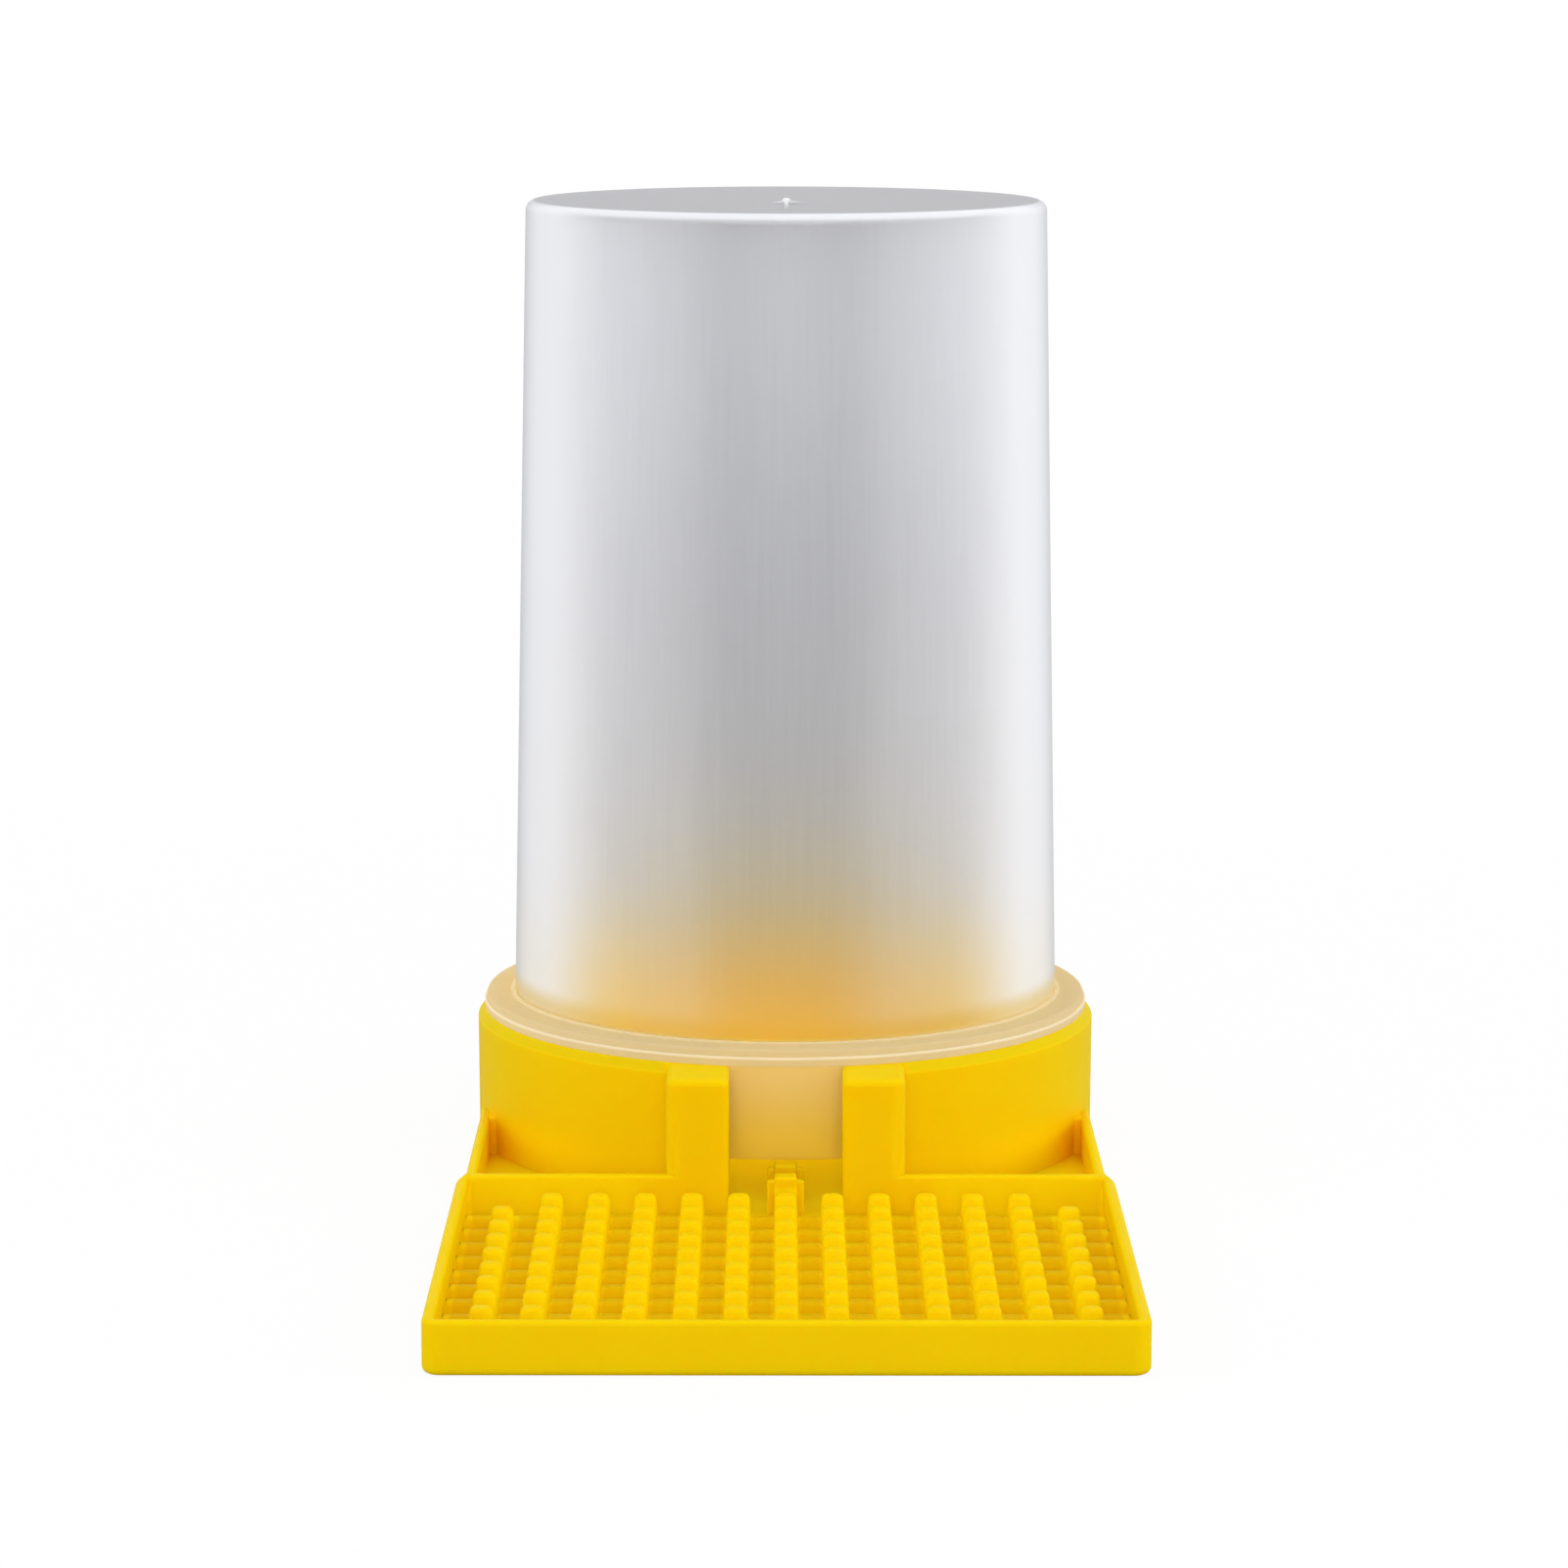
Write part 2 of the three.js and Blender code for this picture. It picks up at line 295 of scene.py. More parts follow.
def upright(bottom, top, foot_round=0.0, top_round=0.0, steps=5, draft=0.0):
    """The section of a standing block, rounded at the foot and the top, that narrows by the draft."""
    # The flat ends only give the rounds their direction, and are left out of the section.
    reach = max(foot_round, top_round) + draft + 1.0
    corners = [(reach, bottom), (0.0, bottom), (draft, top), (reach, top)]
    return softened(corners, [0.0, foot_round, top_round, 0.0], steps, closed=False)[1:-1]


def sinking(bottom, rim, flare, steps=5):
    """The section of a pocket cutter, whose mouth flares so that it leaves a rounded rim.

    The mouth is a quarter circle of radius r = flare: (r cos t - r, rim - r + r sin t).
    """
    turn = np.radians(np.linspace(0.0, 90.0, steps + 1))
    mouth = np.column_stack((-flare + flare * np.cos(turn), rim - flare + flare * np.sin(turn)))
    return np.vstack(([(0.0, bottom)], mouth, [(-flare, rim + OVERRUN)]))


def new_object(name, shape):
    """An object at the origin from a shape in millimetres, whose mesh is in metres."""
    points, faces = shape
    mesh = bpy.data.meshes.new(name)
    mesh.from_pydata((np.asarray(points) * MM).tolist(), [], faces)
    mesh.validate()
    thing = bpy.data.objects.new(name, mesh)
    bpy.context.scene.collection.objects.link(thing)
    return thing


def carved(name, blank, steps):
    """Adds and takes away closed solids, one after another, and returns the finished object."""
    blank_object = new_object(name + "_blank", blank)
    tools = []
    for number, (operation, shape) in enumerate(steps):
        tool = new_object(f"{name}_tool_{number}", shape)
        cut = blank_object.modifiers.new(f"step_{number}", "BOOLEAN")
        cut.operation = operation
        cut.solver = "MANIFOLD"
        cut.object = tool
        tools.append(tool)
    depsgraph = bpy.context.evaluated_depsgraph_get()
    mesh = bpy.data.meshes.new_from_object(blank_object.evaluated_get(depsgraph))
    for spent in [blank_object] + tools:
        spent_mesh = spent.data
        bpy.data.objects.remove(spent)
        bpy.data.meshes.remove(spent_mesh)
    mesh.name = name
    thing = bpy.data.objects.new(name, mesh)
    bpy.context.scene.collection.objects.link(thing)
    return thing


def finish_piece(thing, material, body, node, crease=35.0):
    """Smooth shading up to the crease angle, then material, body, node and slot."""
    mesh = thing.data
    mesh.polygons.foreach_set("use_smooth", np.ones(len(mesh.polygons), bool))
    mesh.set_sharp_from_angle(angle=math.radians(crease))
    weights = thing.modifiers.new("even_normals", "WEIGHTED_NORMAL")
    weights.keep_sharp = True
    mesh.materials.clear()
    mesh.materials.append(material)
    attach(thing, body)
    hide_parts(node)


def tray_and_apron_outline():
    """Plan of the low walls: round front corners, and an S-shaped flare where the apron begins.

    The flare is a cubic curve whose handles are half its length, so both of its ends run
    straight into the sides.
    """
    front = softened(
        [(-TRAY_HALF, 0.0), (-TRAY_HALF, TRAY_FRONT_Y), (TRAY_HALF, TRAY_FRONT_Y), (TRAY_HALF, 0.0)],
        [0.0, TRAY_CORNER, TRAY_CORNER, 0.0], steps=10, closed=False,
    )[1:-1]
    t = np.linspace(0.0, 1.0, FLARE_POINTS)[:, None]
    bend = (FLARE_BACK_Y - FLARE_FRONT_Y) / 2
    handles = np.array([
        (TRAY_HALF, FLARE_FRONT_Y), (TRAY_HALF, FLARE_FRONT_Y + bend),
        (APRON_HALF, FLARE_BACK_Y - bend), (APRON_HALF, FLARE_BACK_Y),
    ])
    weights = np.hstack(((1 - t) ** 3, 3 * t * (1 - t) ** 2, 3 * t ** 2 * (1 - t), t ** 3))
    right = weights @ handles
    left = right[::-1] * (-1.0, 1.0)
    return np.vstack((front, right, [(APRON_HALF, 0.0), (-APRON_HALF, 0.0)], left))


def low_wall_steps():
    """The tray and the apron pocket, cut out of the low walls down to the floor."""
    apron_inner = APRON_HALF - APRON_WALL
    tray_plan = oblong(
        -TRAY_INNER_HALF, TRAY_INNER_HALF, TRAY_INNER_FRONT, CROSS_WALL_Y, TRAY_INNER_CORNER
    )
    apron_plan = oblong(-apron_inner, apron_inner, CROSS_WALL_Y + CROSS_WALL, 0.0, APRON_CORNER)
    pocket = sinking(FLOOR, RIM, RIM_FLARE)
    return [("DIFFERENCE", carried(tray_plan, pocket)), ("DIFFERENCE", carried(apron_plan, pocket))]


def ring_steps():
    """The ring, its corner webs, the gateway with its jambs, and the round well inside.

    Ring and well are profiles turned about the Z axis. The well's mouth is rounded by its two
    ends and its middle, which lies 0.3 of the round from both faces.
    """
    ring = turned(
        rounded_profile([
            (0.0, 0.0, 0.0),
            (RING_RADIUS - RING_DRAFT, 0.0, RING_FOOT_ROUND),
            (RING_RADIUS, RING_TOP - RING_CHAMFER[1], RING_CHAMFER_ROUND),
            (RING_RADIUS - RING_CHAMFER[0], RING_TOP - HAIR, RING_TOP_ROUND),
            (0.0, RING_TOP - HAIR, 0.0),
        ], 4),
        SEGMENTS,
    )
    right_web = np.array(CORNER_WEB)
    web_section = upright(WALL_ROOT, RIM - HAIR, 0.0, CORNER_WEB_ROUND)
    webs = together(
        carried(right_web, web_section), carried(right_web[::-1] * (-1.0, 1.0), web_section)
    )
    slot_half = GATE_HALF + 2 * OVERRUN
    gate_slot = carried(
        oblong(-slot_half, slot_half, CROSS_WALL_Y - OVERRUN, JAMB_BACK_Y, 0.0, 1),
        [(0.0, FLOOR), (0.0, RING_TOP + OVERRUN)],
    )
    jamb_section = upright(WALL_ROOT, RING_TOP - HAIR, 0.0, JAMB_TOP_ROUND, 6)
    right_rounds = [JAMB_ROUND, JAMB_OUTER_ROUND, JAMB_ROUND, JAMB_ROUND]
    left_rounds = [JAMB_OUTER_ROUND, JAMB_ROUND, JAMB_ROUND, JAMB_ROUND]
    jambs = together(
        carried(oblong(GATE_HALF, JAMB_OUTER, CROSS_WALL_Y, JAMB_BACK_Y, right_rounds, 8), jamb_section),
        carried(oblong(-JAMB_OUTER, -GATE_HALF, CROSS_WALL_Y, JAMB_BACK_Y, left_rounds, 8), jamb_section),
    )
    bore_middle = 0.3 * BORE_ROUND
    well = turned(
        [
            (0.0, FLOOR), (RING_BORE, FLOOR), (RING_BORE, RING_TOP - BORE_ROUND),
            (RING_BORE + bore_middle, RING_TOP - bore_middle),
            (RING_BORE + BORE_ROUND, RING_TOP), (RING_BORE + BORE_ROUND, RING_TOP + OVERRUN),
            (0.0, RING_TOP + OVERRUN),
        ],
        SEGMENTS,
    )
    return [
        ("UNION", ring), ("UNION", webs), ("DIFFERENCE", gate_slot), ("UNION", jambs),
        ("DIFFERENCE", well),
    ]


def peg_field_steps():
    """Cross ribs, drinking pegs, and the plus-shaped channel posts that lead into the gateway.

    The peg in column i and row j stands at (i x pitch, first row - j x pitch). The row next to
    the cross wall lacks its two outermost pegs. Two posts go on in the rows' pitch the other way.
    """
    rows_y = FIRST_ROW_Y - PEG_PITCH[1] * np.arange(PEG_ROWS)
    rib_reach = TRAY_HALF - TRAY_WALL / 2
    rib = carried(
        oblong(-rib_reach, rib_reach, -RIB_WIDTH / 2, RIB_WIDTH / 2, RIB_CORNER, 1),
        upright(PEG_ROOT, FLOOR + RIB_HEIGHT, 0.0, RIB_ROUND, 4, RIB_DRAFT),
    )
    ribs = stamped(rib, np.column_stack((0 * rows_y, rows_y, 0 * rows_y)))
    peg = carried(
        oblong(-PEG_HALF, PEG_HALF, -PEG_HALF, PEG_HALF, PEG_CORNER, 2),
        upright(PEG_ROOT, FLOOR + PEG_HEIGHT, 0.0, PEG_ROUND, 3, PEG_DRAFT),
    )
    column, row = np.meshgrid(np.arange(-PEG_COLUMNS_ASIDE, PEG_COLUMNS_ASIDE + 1), np.arange(PEG_ROWS))
    present = (row > 0) | (abs(column) < PEG_COLUMNS_ASIDE)
    places = np.column_stack((column[present] * PEG_PITCH[0], rows_y[row[present]], 0.0 * row[present]))
    pegs = stamped(peg, places)
    channel_y = FIRST_ROW_Y + PEG_PITCH[1] * np.array([1.0, 2.0])
    channel_places = np.column_stack((0 * channel_y, channel_y, 0 * channel_y))
    half = POST_WIDTH / 2
    post = carried(
        oblong(-half, half, -half, half, POST_CORNER, 4),
        upright(PEG_ROOT, FLOOR + POST_HEIGHT, 0.0, POST_ROUND),
    )
    fin = carried(
        oblong(-FIN_SPAN / 2, FIN_SPAN / 2, -FIN_WIDTH / 2, FIN_WIDTH / 2, FIN_CORNER, 3),
        upright(PEG_ROOT, FLOOR + FIN_HEIGHT, 0.0, FIN_ROUND),
    )
    posts, fins = stamped(post, channel_places), stamped(fin, channel_places)
    return [("UNION", ribs), ("UNION", pegs), ("UNION", posts), ("UNION", fins)]


def moulded_base():
    """The one-piece base: low walls with pockets, then the ring and gateway, then the pegs.

    The low walls are the plan of tray and apron carried up a section with a round foot and rim.
    """
    low_walls = carried(tray_and_apron_outline(), upright(0.0, RIM, FOOT_ROUND, RIM_ROUND))
    return carved("moulded_base", low_walls, low_wall_steps() + ring_steps() + peg_field_steps())


def feed_cap():
    """A dish with a two-step flange and a thin collar, turned about the Z axis, and drilled.

    The profile goes round the wall once, from the middle of the underside to the middle of the
    floor's top. The feed holes are cylinders in even steps round a small circle.
    """
    wall = rounded_profile([
        (0.0, CAP_UNDERSIDE, 0.0),
        (SKIRT_FOOT_RADIUS, CAP_UNDERSIDE, 1.2),
        (SKIRT_TOP_RADIUS, RING_TOP, 0.3),
        (FLANGE_RADIUS, RING_TOP, 0.35),
        (FLANGE_RADIUS, LIP_TOP, 0.25),
        (TIER_RADIUS, LIP_TOP, 0.1),
        (TIER_RADIUS, FLANGE_TOP, 0.5),
        (COLLAR_RADIUS, FLANGE_TOP, 0.1),
        (COLLAR_RADIUS, COLLAR_TOP, 0.15),
        (SOCKET_RADIUS, COLLAR_TOP, 0.15),
        (SOCKET_RADIUS, FLANGE_TOP - COLLAR_LIP, 0.2),
        (DISH_RADIUS, RING_TOP, 0.4),
        (SKIRT_FOOT_RADIUS - SKIRT_WALL, CAP_FLOOR_TOP, 0.8),
        (0.0, CAP_FLOOR_TOP, 0.0),
    ], 5)
    low, high = CAP_UNDERSIDE - DRILL_OVERRUN, CAP_FLOOR_TOP + DRILL_OVERRUN
    drill = turned(
        [(0.0, low), (FEED_HOLE_RADIUS, low), (FEED_HOLE_RADIUS, high), (0.0, high)], SMALL_SEGMENTS
    )
    angle = np.arange(FEED_HOLES) * 2.0 * math.pi / FEED_HOLES
    places = np.column_stack((np.cos(angle), np.sin(angle), 0 * angle)) * FEED_HOLE_CIRCLE
    return carved("milky_feed_cap", turned(wall, SEGMENTS), [("DIFFERENCE", stamped(drill, places))])


def gate_mark_steps():
    """A small nib on the crown with three straight webs, where the plastic entered the mould.

    A web is a wedge whose top runs straight from its near height, inside the nib, to its far
    height, both over the middle of the dished crown. Its plan is turned about the nib by its angle.
    """
    middle = CUP_TOP - CROWN_DISH
    sunk = middle - MARK_ROOT
    nib = turned(
        rounded_profile([
            (0.0, sunk, 0.0), (NIB_RADIUS, sunk, 0.0),
            (NIB_RADIUS * NIB_TOP_SHARE, middle + NIB_RISE, NIB_ROUND), (0.0, middle + NIB_RISE, 0.0),
        ], 4),
        SMALL_SEGMENTS,
    )
    ends = [[3, 2, 1, 0], [4, 5, 6, 7]]
    sides = [[i, (i + 1) % 4, 4 + (i + 1) % 4, 4 + i] for i in range(4)]
    steps = [("UNION", nib)]
    for angle, length, near_rise, far_rise in MARK_WEBS:
        along = np.array([math.cos(math.radians(angle)), math.sin(math.radians(angle))])
        across = np.array([-along[1], along[0]]) * MARK_WEB_WIDTH / 2
        far = along * length
        plan = [-across, far - across, far + across, across]
        low = [(x, y, sunk) for x, y in plan]
        rise = [near_rise, far_rise, far_rise, near_rise]
        high = [(x, y, middle + up) for (x, y), up in zip(plan, rise)]
        steps.append(("UNION", (np.array(low + high), ends + sides)))
    return steps


def syrup_cup():
    """A tapered cup, mouth down, with a plug that stands in the cap and a slightly dished crown.

    Its wall runs straight from the collar to the crown. Inside its crest the crown is the
    paraboloid z = top - dish (1 - (r / crest radius)^2).
    """
    slope = (CUP_RADIUS - CUP_CROWN_RADIUS) / (CUP_TOP - COLLAR_TOP)
    inner_top = CUP_TOP - CROWN_WALL
    inner_crown = CUP_RADIUS - slope * (inner_top - COLLAR_TOP) - CUP_WALL
    mouth = CAP_FLOOR_TOP + HAIR
    wall = rounded_profile([
        (0.0, inner_top - CROWN_DISH, 0.0),
        (inner_crown, inner_top, 1.0),
        (CUP_RADIUS - CUP_WALL, COLLAR_TOP, 0.0),
        (PLUG_RADIUS - CUP_WALL, mouth, 0.3),
        (PLUG_RADIUS, mouth, 0.3),
        (PLUG_RADIUS, COLLAR_TOP + HAIR, 0.0),
        (CUP_RADIUS, COLLAR_TOP + SHOULDER_RISE, 0.05),
        (CUP_CROWN_RADIUS, CUP_TOP, CROWN_ROUND),
        (CREST_RADIUS, CUP_TOP, 0.0),
    ], 8)
    share = np.linspace(1.0, 0.0, DISH_POINTS)[1:]
    dish = np.column_stack((CREST_RADIUS * share, CUP_TOP - CROWN_DISH * (1.0 - share ** 2)))
    return carved("frosted_syrup_cup", turned(np.vstack((wall, dish)), SEGMENTS), gate_mark_steps())


def add(tree, kind, settings=None, **inputs):
    """A node of that kind. Each input is set to a value, or linked if it is given a socket.

    An underscore in an input's name stands for a space, and i0, i1 and so on go by number.
    """
    node = tree.nodes.new(kind)
    for name, value in (settings or {}).items():
        setattr(node, name, value)
    for name, value in inputs.items():
        label = name.replace("_", " ")
        socket = node.inputs[int(label[1:]) if label[1:].isdigit() else label]
        if isinstance(value, bpy.types.NodeSocket):
            tree.links.new(value, socket)
        else:
            socket.default_value = value
    return node


def worked(tree, operation, *values):
    """The result of one Math node."""
    inputs = {f"i{number}": value for number, value in enumerate(values)}
    return add(tree, "ShaderNodeMath", {"operation": operation}, **inputs).outputs[0]


def product(tree, first, *others):
    """The first value multiplied by each of the others in turn."""
    for other in others:
        first = worked(tree, "MULTIPLY", first, other)
    return first


def new_material(name):
    """A material with an empty node tree."""
    material = bpy.data.materials.new(name)
    material.use_nodes = True
    material.node_tree.nodes.clear()
    return material


def place_in_millimetres(tree):
    """The piece's own coordinates in millimetres."""
    place = add(tree, "ShaderNodeTexCoord").outputs["Object"]
    return add(
        tree, "ShaderNodeVectorMath", {"operation": "SCALE"}, i0=place, Scale=1.0 / MM
    ).outputs["Vector"]


def coordinates(tree):
    """Y, Z, the distance across from the mirror plane, and the radius from the cup's axis."""
    parts = add(tree, "ShaderNodeSeparateXYZ", Vector=place_in_millimetres(tree)).outputs
    flat_place = add(tree, "ShaderNodeCombineXYZ", X=parts["X"], Y=parts["Y"]).outputs["Vector"]
    length = add(tree, "ShaderNodeVectorMath", {"operation": "LENGTH"}, i0=flat_place)
    across = worked(tree, "ABSOLUTE", parts["X"])
    return {"y": parts["Y"], "z": parts["Z"], "across": across, "radius": length.outputs["Value"]}


def linear(tree, value, span, at_start=0.0, at_end=1.0):
    """A straight ramp between two values while the value goes through the span."""
    return add(
        tree, "ShaderNodeMapRange", Value=value,
        From_Min=span[0], From_Max=span[1], To_Min=at_start, To_Max=at_end,
    ).outputs["Result"]


def ranged(tree, value, span, at_start=0.0, at_end=1.0):
    """A smooth step between two values while the value goes through the span."""
    return add(
        tree, "ShaderNodeMapRange", {"interpolation_type": "SMOOTHSTEP"}, Value=value,
        From_Min=span[0], From_Max=span[1], To_Min=at_start, To_Max=at_end,
    ).outputs["Result"]


def region(tree, place, steps):
    """The product of soft steps, each from where its share is 0 to where it is 1."""
    shares = [
        ranged(tree, place[name], (zero, one)) if zero < one
        else ranged(tree, place[name], (one, zero), 1.0, 0.0)
        for name, zero, one in steps
    ]
    return product(tree, *shares)


# Most values of a noise lie in this span, which is stretched to the whole range.
NOISE_SPAN = (0.3, 0.7)
GRAIN_DETAIL = 2.0


def cloudy(tree, size, low=0.0, high=1.0, detail=3.0, stretch=(1.0, 1.0, 1.0)):
    """A value from low to high in blotches about size millimetres across, stretched by axis."""
    place = add(tree, "ShaderNodeTexCoord").outputs["Object"]
    shrink = [1.0 / s for s in stretch]
    placed = add(tree, "ShaderNodeMapping", Vector=place, Scale=shrink).outputs["Vector"]
    noise = add(tree, "ShaderNodeTexNoise", Vector=placed, Scale=1.0 / (size * MM), Detail=detail)
    return linear(tree, noise.outputs["Fac"], NOISE_SPAN, low, high)


def streaked(tree, low=0.0, high=1.0):
    """A value from low to high in the fine upright streaks of the cup's wall."""
    return cloudy(tree, STREAK_SIZE, low, high, STREAK_DETAIL, STREAK_STRETCH)


def blended(tree, share, first, second):
    """The colour that goes from the first to the second as the share goes from 0 to 1."""
    mix = add(tree, "ShaderNodeMix", {"data_type": "RGBA"}, Factor=share)
    for name, value in (("A", first), ("B", second)):
        socket = next(s for s in mix.inputs if s.name == name and s.type == "RGBA")
        if isinstance(value, bpy.types.NodeSocket):
            tree.links.new(value, socket)
        else:
            socket.default_value = (*value, 1.0)
    return next(s for s in mix.outputs if s.type == "RGBA")


def grained(tree, height, depth):
    """A surface normal that is bumped by the height, up to a depth in millimetres."""
    return add(tree, "ShaderNodeBump", Height=height, Distance=depth * MM).outputs["Normal"]


def lets_lamps_through(tree, surface, tint):
    """The surface, with a clear shader in its place for rays from lamps."""
    clear = add(tree, "ShaderNodeBsdfTransparent", Color=(*tint, 1.0))
    path = add(tree, "ShaderNodeLightPath")
    mix = add(
        tree, "ShaderNodeMixShader", Fac=path.outputs["Is Shadow Ray"],
        i1=surface, i2=clear.outputs["BSDF"],
    )
    add(tree, "ShaderNodeOutputMaterial", Surface=mix.outputs["Shader"])


# Where painted light and shade go on the base's yellow. A region is a row of soft steps along a
# coordinate, each from where its share is 0 to where it is 1. "across" is the distance from the
# mirror plane and "radius" the distance from the cup's axis. A crisp step is as wide as CRISP.
CRISP = 0.1
IN_TRAY = (
    ("across", TRAY_INNER_HALF, TRAY_INNER_HALF - CRISP),
    ("y", TRAY_INNER_FRONT, TRAY_INNER_FRONT + CRISP),
    ("y", CROSS_WALL_Y, CROSS_WALL_Y - 2 * CRISP),
)
# Below these heights the lanes of the peg field take their painted shade.
LOW_IN_FIELD = (("z", 5.2, 3.9),)
IN_GATEWAY = (("across", GATE_HALF + 0.5, GATE_HALF - 0.5), ("y", 0.5, -0.5))
IN_BORE = (("radius", RING_BORE + 1.5 * CRISP, RING_BORE + 0.5 * CRISP),)
ON_RING_FLOOR = (("y", -70.0, -57.0), ("z", 4.0, 2.5))
ON_CHAMFER = (("across", 20.8, 22.2), ("z", 24.3, 25.0))
IN_CORNER = (
    ("across", 30.0, 50.0), ("across", 55.9, 55.8), ("y", -65.0, -60.0), ("y", -16.0, -19.0),
    ("z", 13.0, 6.0),
)
ON_CROSS_WALL = (
    ("across", 21.0, 30.0), ("y", -66.85, -66.75), ("y", -66.15, -66.25), ("z", 8.8, 8.0),
)
DEEP_IN_CORNER = (("y", -34.0, -24.0),)
PEG_TOPS = (("z", 6.6, 7.7),)
RIB_TOPS = (("z", 2.7, 3.7),)

# From the middle of a peg column outwards, the lane's painted shade grows from a share to the whole.
LANE_EDGE = (1.9, 2.9)
LANE_SHARE_IN_COLUMN = 0.25

# Yellows of the base, as red, green and blue. The wall yellows are the plastic's own tone, and the
# others are painted light and shade.
WALL_YELLOWS = ((0.870, 0.598, 0.0005), (0.890, 0.618, 0.0008))
# Painted light on the pegs' shaded sides and painted shade on their lit tops, so that a column reads
# evenly.
PEG_SIDE_PAINTED_LIGHT = (1.0, 0.725, 0.0008)
PEG_TOP_PAINTED_SHADE = (0.900, 0.600, 0.0005)
# Painted shade in the lanes between peg columns: the floor between ribs is lifted against its shade and
# the rib tops are darkened to dim their light.
LANE_FLOOR_PAINTED_SHADE = (0.85, 0.590, 0.0005)
RIB_TOP_PAINTED_SHADE = (0.785, 0.520, 0.0004)
# Painted light on the ring's floor under the cap, which lies in shade.
RING_FLOOR_PAINTED_LIGHT = (1.0, 0.75, 0.004)
# Painted shade on the ring's upward-facing chamfer: a darker, greener yellow that tones down its lit
# face.
CHAMFER_PAINTED_SHADE = (0.79, 0.59, 0.003)
# Painted light in the shaded pocket corners between the ring and the apron wall, with more orange bounce
# light deepest in.
CORNER_PAINTED_LIGHT = (0.97, 0.67, 0.0010)
DEEP_CORNER_PAINTED_BOUNCE = (1.0, 0.59, 0.0004)
# Painted highlight along the rounded top of the cross wall.
CROSS_WALL_PAINTED_HIGHLIGHT = (0.89, 0.68, 0.0008)

# Size of the blotches in the yellow and in its gloss, and of its grain, and the grain's depth.
YELLOW_BLOTCH = 18.0
BASE_GLOSS_BLOTCH = 5.0
BASE_ROUGHNESS = (0.42, 0.52)
BASE_SPECULAR = 0.02
BASE_GRAIN = 0.5
BASE_GRAIN_DEPTH = 0.01

# Share of the light that spreads inside the plastic, how far, and how far by colour.
SPREAD_SHARE = 0.5
SPREAD_REACH = 3.5
SPREAD_BY_COLOUR = (1.0, 0.40, 0.06)


def base_yellow(tree):
    """The base's colour: plain walls, then painted light and shade on the peg field, the ring's floor
    under the cap, the chamfer, the pocket corners and the cross wall's top.

    In the field the share of the lane's painted shade is a low step in height, times a step in the
    distance to the nearest peg column, which a ping-pong of half the pitch gives.
    """
    place = coordinates(tree)
    off_column = worked(tree, "PINGPONG", place["across"], PEG_PITCH[0] / 2)
    in_lane = ranged(tree, off_column, LANE_EDGE, LANE_SHARE_IN_COLUMN, 1.0)
    # Painted shade in the lanes, low down and away from the middle of a column.
    lane_shade_share = product(tree, region(tree, place, LOW_IN_FIELD), in_lane)
    # Pegs: painted light on their sides, painted shade on their tops.
    peg_light_and_shade = blended(tree, region(tree, place, PEG_TOPS), PEG_SIDE_PAINTED_LIGHT, PEG_TOP_PAINTED_SHADE)
    lane_painted_shade = blended(tree, region(tree, place, RIB_TOPS), LANE_FLOOR_PAINTED_SHADE, RIB_TOP_PAINTED_SHADE)
    field = blended(tree, lane_shade_share, peg_light_and_shade, lane_painted_shade)
    # Painted light on the ring's floor under the cap, in the gateway and the bore.
    under_cap = worked(
        tree, "MAXIMUM", region(tree, place, IN_GATEWAY), region(tree, place, IN_BORE)
    )
    ring_floor_light_share = product(tree, under_cap, region(tree, place, ON_RING_FLOOR))
    # Painted light in the pocket corners, more orange deeper in.
    corner_light = blended(
        tree, region(tree, place, DEEP_IN_CORNER), CORNER_PAINTED_LIGHT, DEEP_CORNER_PAINTED_BOUNCE
    )
    colour = blended(tree, cloudy(tree, YELLOW_BLOTCH), *WALL_YELLOWS)
    for share, tint in (
        (region(tree, place, IN_TRAY), field),
        (ring_floor_light_share, RING_FLOOR_PAINTED_LIGHT),
        (region(tree, place, ON_CHAMFER), CHAMFER_PAINTED_SHADE),
        (region(tree, place, IN_CORNER), corner_light),
        (region(tree, place, ON_CROSS_WALL), CROSS_WALL_PAINTED_HIGHLIGHT),
    ):
        colour = blended(tree, share, colour, tint)
    return colour


def yellow_plastic():
    """Opaque moulded plastic with a soft gloss, in which light spreads a little."""
    material = new_material("yellow_moulded_plastic")
    tree = material.node_tree
    shader = add(
        tree, "ShaderNodeBsdfPrincipled", Base_Color=base_yellow(tree),
        Roughness=cloudy(tree, BASE_GLOSS_BLOTCH, *BASE_ROUGHNESS), Specular_IOR_Level=BASE_SPECULAR,
        Subsurface_Weight=SPREAD_SHARE, Subsurface_Radius=SPREAD_BY_COLOUR,
        Subsurface_Scale=SPREAD_REACH * MM,
        Normal=grained(tree, cloudy(tree, BASE_GRAIN, detail=GRAIN_DETAIL), BASE_GRAIN_DEPTH),
    )
    add(tree, "ShaderNodeOutputMaterial", Surface=shader.outputs["BSDF"])
    return material


# Milky whites and ambers of the cap, as red, green and blue. The ambers and the flange's tan are
# painted glow of the yellow base shining through, and the palest white is a painted highlight.
# Painted glow of the yellow base, amber down the skirt.
SKIRT_FOOT_PAINTED_GLOW = (0.97, 0.82, 0.13)
SKIRT_TOP_PAINTED_GLOW = (0.93, 0.80, 0.40)
# The flange's tan: the milk's own tone with the painted glow of the yellow ring under it.
FLANGE_MILK_AND_GLOW = (0.83, 0.74, 0.50)
# Painted highlight of the two fine lines.
EDGE_PAINTED_HIGHLIGHT = (1.0, 0.95, 0.80)
CAP_TINTS = ((0.95, 0.88, 0.66), (0.97, 0.91, 0.72))

